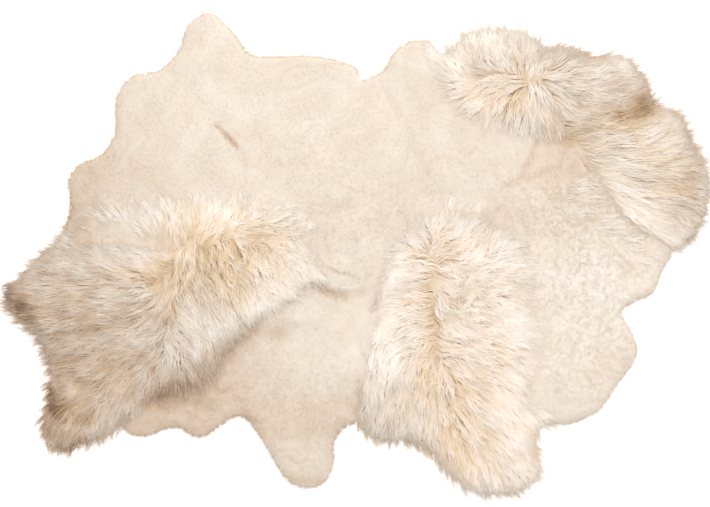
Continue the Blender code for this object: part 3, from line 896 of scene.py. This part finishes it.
# How the wool lies: rows of centimetres from the rug's middle, degrees from +X and centimetres
# of length.
LIES = {
    "pelt_upper_left": (
        (-60, 15, 120, 3), (-45, 16, 95, 3), (-30, 15, 70, 3), (-18, 12, 20, 3), (-72, 4, 150, 6),
        (-62, 5, 140, 5), (-50, 6, 110, 4), (-38, 7, 60, 4), (-26, 6, 0, 4), (-85, -4, 168, 7),
        (-73, -3, 166, 8), (-63, -2, 158, 8), (-55, -4, 150, 7), (-45, -3, -90, 5), (-36, 0, -80, 4),
        (-27, -1, -55, 5), (-20, -3, -48, 6), (-88, -10, 176, 8), (-76, -8, 178, 9), (-66, -8, 178, 9),
        (-57, -8, 188, 9), (-50, -9, 260, 6), (-42, -9, -60, 6), (-33, -8, -70, 6), (-24, -8, -58, 7),
        (-16, -9, -48, 7), (-88, -15, 182, 9), (-76, -14, 184, 10), (-65, -14, 184, 10),
        (-57, -13, 202, 9), (-53, -15, 232, 8), (-46, -14, -48, 8), (-38, -15, -52, 8),
        (-30, -14, -72, 8), (-22, -15, -62, 7), (-82, -20, 196, 9), (-72, -19, 192, 10),
        (-62, -19, 196, 9), (-55, -20, 215, 8), (-47, -21, -40, 6), (-39, -21, -60, 7),
        (-32, -22, -68, 7), (-80, -26, 198, 9), (-70, -25, 198, 10), (-61, -26, 204, 9),
        (-55, -27, 222, 8), (-51, -28, 265, 8), (-46, -27, -65, 8), (-40, -28, -72, 8),
        (-80, -33, 202, 8), (-71, -32, 206, 9), (-63, -32, 222, 9), (-57, -33, 242, 9),
        (-52, -34, 262, 8), (-45, -34, -82, 8), (-80, -39, 206, 8), (-72, -39, 218, 9),
        (-65, -39, 240, 9), (-58, -40, 258, 7), (-81, -46, 226, 7), (-75, -46, 238, 8),
        (-68, -45, 258, 8), (-80, -52, 250, 6), (-72, -51, 262, 6),
    ),
    "pelt_lower_right": (
        (20, 12, 80, 3), (30, 10, 60, 3), (17, 3, 140, 5), (12, 1, 185, 6), (9, -5, 228, 6),
        (5, -12, 246, 7), (18, -4, 172, 6), (14, -8, 168, 7), (10, -12, 192, 7), (7, -17, 222, 7),
        (3, -22, 246, 6), (18, -12, 168, 7), (14, -17, 180, 7), (9, -21, 204, 7), (5, -27, 256, 7),
        (18, -20, 184, 6), (13, -24, 206, 7), (17, -28, 226, 7), (11, -31, 256, 8), (4, -33, 262, 8),
        (16, -35, 250, 7), (10, -39, 266, 8), (3, -41, 262, 8), (16, -43, 268, 8), (8, -47, 266, 7),
        (21, -47, 272, 8), (22, 0, 35, 5), (27, 3, 25, 5), (33, 3, 42, 5), (24, -4, -25, 5),
        (30, -3, 35, 6), (36, -3, 18, 8), (43, -3, 4, 8), (23, -9, -40, 6), (29, -9, 10, 7),
        (36, -9, -3, 9), (43, -9, -8, 8), (23, -14, -55, 6), (29, -13, 25, 6), (33, -15, -30, 7),
        (39, -14, -12, 9), (45, -15, -16, 7), (24, -19, -35, 6), (30, -18, -35, 7), (36, -19, 0, 8),
        (43, -20, -18, 8), (25, -23, -10, 5), (31, -25, -22, 6), (38, -26, -20, 8), (45, -27, -28, 7),
        (21, -33, -78, 7), (28, -32, -34, 7), (36, -33, -28, 8), (44, -35, -35, 6), (22, -40, -82, 7),
        (28, -39, -45, 8), (35, -40, -34, 8), (43, -42, -38, 7), (25, -48, -84, 8), (30, -47, -58, 8),
        (37, -48, -42, 8), (45, -49, -46, 6), (27, -55, -80, 7), (33, -55, -58, 8), (40, -55, -48, 7),
        (47, -55, -45, 5), (33, -61, -80, 6), (40, -61, -68, 6), (46, -60, -48, 5),
    ),
    "pelt_upper_right": (
        (28, 55, 108, 5), (34, 56, 94, 6), (41, 56, 85, 6), (47, 54, 72, 6), (27, 50, 140, 5),
        (34, 50, 138, 6), (41, 51, 112, 6), (46, 50, 82, 5), (29, 45, 196, 6), (35, 45, 214, 7),
        (41, 46, 200, 6), (31, 39, 222, 6), (37, 40, 238, 7), (42, 42, 240, 6), (35, 35, 255, 5),
        (41, 37, 265, 6), (46, 38, 272, 7), (48, 43, 282, 7), (51, 38, 276, 7), (53, 33, 285, 6),
        (53, 42, 310, 7), (53, 47, -8, 8), (59, 45, -18, 9), (56, 49, 22, 8), (62, 48, 8, 9),
        (69, 47, 8, 9), (52, 53, 55, 7), (58, 53, 38, 7), (65, 51, 22, 8), (72, 49, 22, 8),
        (58, 40, -50, 6), (63, 41, -12, 7), (69, 41, 4, 8), (74, 43, 24, 8), (60, 36, 8, 7),
        (66, 36, 14, 9), (72, 37, 22, 10), (78, 38, 30, 8), (84, 36, 30, 8), (59, 32, 10, 7),
        (65, 32, 10, 9), (71, 32, 12, 10), (78, 32, 20, 10), (85, 31, 24, 9), (60, 28, -8, 8),
        (66, 28, 16, 9), (73, 27, 8, 10), (80, 27, 6, 10), (88, 26, 10, 9), (63, 24, -22, 8),
        (69, 23, -6, 10), (76, 22, -4, 10), (83, 21, -6, 10), (90, 20, -8, 8), (66, 19, -38, 8),
        (72, 17, -20, 10), (79, 16, -15, 10), (87, 14, -18, 9), (69, 13, -45, 7), (75, 11, -28, 9),
        (82, 9, -25, 9), (88, 7, -30, 8), (76, 5, -35, 7), (82, 3, -32, 7),
    ),
}

# Where the locks are wavy or tangled rather than combed straight.
WAVES = (
    (27, -6, 9, 12, 0.95), (35, -15, 8, 7, 0.45), (20, -28, 6, 10, 0.45), (10, -10, 10, 12, 0.25),
    (-34, -2, 12, 7, 0.5), (-50, -22, 6, 5, 0.45), (62, 32, 8, 9, 0.35), (66, 15, 6, 6, 0.45),
    (-63, -34, 5, 4, 0.25), (-60, -9, 16, 8, 0.45), (-61, -25, 15, 9, 0.5),
)
wave_net = patched(WAVES, net_rows)


def combed(guides):
    """Nets of the wool's lie and length, blended from guides: east, north and length."""
    table = np.array(guides, float)
    places = middle + table[:, :2] / 100
    lies = np.radians(table[:, 2])
    gaps = ((net_places[:, None] - places) ** 2).sum(axis=2)
    weights = 1 / (gaps + GUIDE_BLEND**2) ** 2.5
    weights /= weights.sum(axis=1, keepdims=True)
    columns = (np.cos(lies), np.sin(lies), table[:, 3] / 100)
    return [(weights @ column).reshape(pile.shape) for column in columns]


def lock_paths(comb, roots, lengths, turns, phase, wave):
    """The way that each lock takes over the ground, as its places from root to tip."""
    east, north, _ = comb
    place, path = roots, [roots]
    for step in range(PATH_STEPS):
        share = (step + 0.5) / PATH_STEPS
        lie = np.arctan2(on_net(north, place), on_net(east, place)) + turns
        ripple = np.sin(phase + 2 * math.pi * share * lengths / LOCK_WAVE) * (0.5 + share)
        lie = lie + wave * ripple
        way = np.stack([np.cos(lie), np.sin(lie)], axis=1)
        place = place + way * (lengths / PATH_STEPS)[:, None]
        path.append(place)
    path = np.stack(path, axis=1)
    # A lock stands up before it falls over, so its root lies behind where it starts to lie flat.
    start = unit(path[:, 1] - path[:, 0])
    left = np.linspace(1, 0, PATH_STEPS + 1) ** 2
    return path - start[:, None] * (LEAN_BACK * left)[:, None]


def at_shares(paths, shares):
    """Places on each path at its own shares of the way, blended between the path's places."""
    along = np.clip(shares, 0, 0.9999) * PATH_STEPS
    i = along.astype(int)
    part = (along - i)[..., None]
    rows = np.arange(len(paths))[:, None]
    return paths[rows, i] * (1 - part) + paths[rows, i + 1] * part


def grown_locks(pelt, comb, seed):
    """A pelt's long locks: their roots, lengths and paths, and its own random numbers."""
    roots, rng = scattered(pelt, LOCK_SPACING, ROOT_MARGIN, 200 + seed)
    roots = roots[on_net(pelt.long_share, roots) > rng.uniform(*SPARSE_SHARES, len(roots))]
    count = len(roots)
    lengths = on_net(comb[2], roots) * rng.uniform(*LENGTH_SPREAD, count)
    lengths = lengths * (0.45 + 0.55 * on_net(pelt.long_share, roots))
    turns = rng.normal(0, 0.10, count) + 0.20 * mottled(roots, 0.035, 31 + seed)
    phase = rng.uniform(0, 2 * math.pi, count)
    wave = BASE_WAVE + 0.8 * on_net(wave_net, roots) * rng.uniform(0.6, 1.3, count)
    paths = lock_paths(comb, roots, lengths, turns, phase, wave)
    # Tips end near the outline, some a little short of it and some past it.
    past = rng.uniform(*TIPS_PAST, count)
    outside = on_net(pelt.inside, paths) < -past[:, None]
    first = np.where(outside.any(axis=1), outside.argmax(axis=1), PATH_STEPS)
    lengths = lengths * np.clip(first / PATH_STEPS, 0.25, 1)
    return roots, lengths, lock_paths(comb, roots, lengths, turns, phase, wave), rng


def strands_along(paths, lengths, heap, rng):
    """The strands of each lock: shares of its way, their lines and sides, and how deep they lie."""
    count = len(paths)
    which = np.repeat(np.arange(count), STRANDS_PER_LOCK)
    total = len(which)
    lift = (rng.uniform(-0.0015, 0.0015, count) + HEAP_LIFT * heap)[which]
    wisp = (rng.random(total) < WISP_SHARE) * rng.uniform(0, WISP_REACH, total)
    reach = rng.uniform(0.72, 1.06, total) + wisp
    shares = STRAND_SHARES * reach[:, None]
    flat = at_shares(paths[which], shares)
    past_end = np.clip(shares - 1, 0, 1)
    flat = flat + (paths[which, -1] - paths[which, -2])[:, None] * past_end[..., None] * PATH_STEPS
    # Strands leave the skin all over the lock's patch and run together towards its tip.
    spread = rng.normal(0, 0.45, (total, 2)) * LOCK_SPACING
    near_edge = 1 - smooth_step(on_net(edge_net, paths[:, -1]) / FINER_REACH)[which]
    gather = 1 - (0.30 + 0.45 * near_edge[:, None]) * smooth_step(shares / 0.9)
    stray = rng.normal(0, 1, (total, 2))
    stray *= np.where(rng.random(total) < STRAY_SHARE, FAR_STRAY_REACH, STRAY_REACH)[:, None]
    flat = flat + spread[:, None] * gather[..., None] + stray[:, None] * (shares**2)[..., None]
    ripple = rng.normal(0, STRAND_RIPPLE, total)[:, None]
    phase = rng.uniform(0, 6.3, total)[:, None]
    turning = shares * lengths[which][:, None] * 2 * math.pi / STRAND_WAVE
    aside = left_of(unit(flat[:, -1] - flat[:, 0]))
    flat = flat + aside[:, None] * (ripple * np.sin(phase + turning))[..., None]
    # A strand rises from the dense wool to the top of the pile, and sinks where that falls away.
    ground = on_net(pile, flat)
    rise = smooth_step(0.12 + shares / 0.6)
    layer = rng.uniform(-1, 0.35, total)[:, None]
    body = np.clip(ground / FULL_BODY, LEAST_BODY, 1)
    height = ground * (0.82 + 0.18 * rise) + body * rise * (lift[:, None] + 0.0016 * layer)
    height = height + 0.001 * body * rng.uniform(-1, 1, (total, 1)) * shares
    height = np.maximum(height, 0.0015 + 0.001 * rng.random((total, 1)))
    lines = np.concatenate([flat, height[..., None]], axis=2)
    widths = STRAND_WIDTH * rng.uniform(0.7, 1.2, total)[:, None] * STRAND_TAPER
    widths *= 1 - 0.45 * near_edge[:, None] * shares
    return shares, lines, turned_sides(lines, widths, rng.normal(0, STRAND_ROLL, total)), layer


def strand_tones(roots, heap, shares, flat, layer, rng):
    """How far each strand's places are tinted, and how far up from the painted shade at the roots they
    count.
    """
    count, total = len(roots), len(flat)
    which = np.repeat(np.arange(count), STRANDS_PER_LOCK)
    # A strand takes its tints from where its root and its tip lie, and the tip's is blotchy.
    root_tint = on_net(tint_net, flat[:, :1])
    tip_tint = on_net(tint_net, flat[:, -2:-1])
    tip_tint = BASE_TINT + (tip_tint - BASE_TINT) * rng.uniform(0.4, 1.6, count)[which][:, None]
    tint = root_tint + (tip_tint - root_tint) * smooth_step(shares / 0.8)
    # Golden towards the root where the pile is thick, partly grease and partly painted shade; locks
    # heaped higher are painted lighter.
    thick = np.clip((on_net(pile, roots) - CLIPPED_HEIGHT) / 0.02, 0.25, 1)[which][:, None]
    tint += ROOT_GOLD * thick * (1 - smooth_step(shares / 0.65)) - 0.06 * heap[which][:, None]
    # Strands that lie lower take a golden painted shade.
    tint += 0.10 * np.clip(-layer, 0, 1)
    tint += (rng.normal(0, 0.03, count)[which] + rng.normal(0, 0.012, total))[:, None]
    # Painted shade from the patches, creases and edges, less on heaped locks, and darker towards the
    # root.
    dull = on_net(shade_and_dull_net, flat) * rng.uniform(0.65, 1.35, (total, 1))
    dull += 0.6 * CLIPPED_DULL * (1 - on_net(long_net, flat)) - 0.05 * heap[which][:, None]
    up = 0.90 + 0.10 * smooth_step(0.05 + shares / 0.6) - dull
    return tint, up + rng.normal(0, 0.015, total)[:, None]


long_wool = {}
for seed, (name, guides) in enumerate(LIES.items()):
    roots, lengths, paths, rng = grown_locks(pelts[name], combed(guides), seed)
    heap = mottled(roots, HEAP_SIZE, 41)
    shares, lines, sides, layer = strands_along(paths, lengths, heap, rng)
    tint, up = strand_tones(roots, heap, shares, lines[..., :2], layer, rng)
    title = name.replace("pelt", "long_wool")
    half = rng.permutation(len(lines)) % 2 == 0
    long_wool[name] = [
        ribbons(f"{title}_{part}", lines[own], sides[own], tint[own], up[own])
        for part, own in (("under", half), ("over", ~half))
    ]

# ----------------------------------------
# What goes together. A skin is the sheet that a pelt was cut from, and its wool and thread are
# on it; all of it rides on the rug's one body.
for name, skin in skins.items():
    own = [fleeces[name], clipped[name], *long_wool.get(name, [])]
    for piece in (skin, *own):
        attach(piece, "root")
    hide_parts(name)

# ----------------------------------------
# The floor, the light and the camera. The floor is matt and nearly white and glows faintly, a painted
# light that washes out its shadows; the main light is a large soft box past the far edge, and the camera
# looks straight down on the rug.
FLOOR_TONES = ((0.3, "#F1EFEC"), (0.7, "#F5F3F1"))
FLOOR_SIZE = 30.0
CAMERA_HEIGHT = 5.0
VIEW_TO_RUG = 1.0125  # the view's width over the rug's
VIEW_SHIFT = (-0.0049, 0.0017)
SENSOR_WIDTH = 36.0  # mm


def matt_floor():
    """Painted paper: matt, nearly white, with a faint unevenness, and glowing faintly as painted light
    that washes out the shadows on it.
    """
    material = new_material("matt_white_paper")
    uneven = textured(material, "ShaderNodeTexNoise", {"Scale": 2.0, "Detail": 3.0})
    tone = toned(material, uneven, "Fac", FLOOR_TONES)
    inputs = {"Roughness": 0.95, "Emission Color": (1, 1, 1, 1), "Emission Strength": 0.25}
    return surfaced(material, [("Base Color", tone, "Color")], inputs)


half = FLOOR_SIZE / 2
floor = mesh_piece(
    "floor",
    [(-half, -half, 0), (half, -half, 0), (half, half, 0), (-half, half, 0)],
    [(0, 1, 2, 3)],
    matt_floor(),
)


def soft_box(name, place, size, watts):
    """A square area light that looks at the rug's middle."""
    light = bpy.data.lights.new(name, "AREA")
    light.shape = "SQUARE"
    light.size = size
    light.energy = watts
    lamp = placed(name, light)
    lamp.location = place
    lamp.rotation_euler = (Vector((*middle, 0)) - Vector(place)).to_track_quat("-Z", "Y").to_euler()


WORLD_LIGHT = 0.82
LIGHT_BOUNCES = 16  # white wool hands light on from fibre to fibre many times before it is lost
# Each light: its place, its size and its watts.
soft_box("main_light", (1.8, 4.2, 3.8), 3.2, 190)
soft_box("fill_light", (-2.5, -1.0, 5.5), 4.0, 60)
world = bpy.data.worlds.new("studio")
world.use_nodes = True
background = world.node_tree.nodes["Background"]
background.inputs["Color"].default_value = (1, 1, 1, 1)
background.inputs["Strength"].default_value = WORLD_LIGHT
scene = bpy.context.scene
scene.world = world
scene.view_settings.view_transform = "Standard"
scene.cycles.max_bounces = LIGHT_BOUNCES
scene.cycles.diffuse_bounces = LIGHT_BOUNCES

camera = placed("camera", bpy.data.cameras.new("camera"))
camera.data.sensor_width = SENSOR_WIDTH
camera.data.lens = SENSOR_WIDTH * CAMERA_HEIGHT / (VIEW_TO_RUG * (frame_high.x - frame_low.x))
camera.location = (middle[0] + VIEW_SHIFT[0], middle[1] + VIEW_SHIFT[1], CAMERA_HEIGHT)
scene.camera = camera
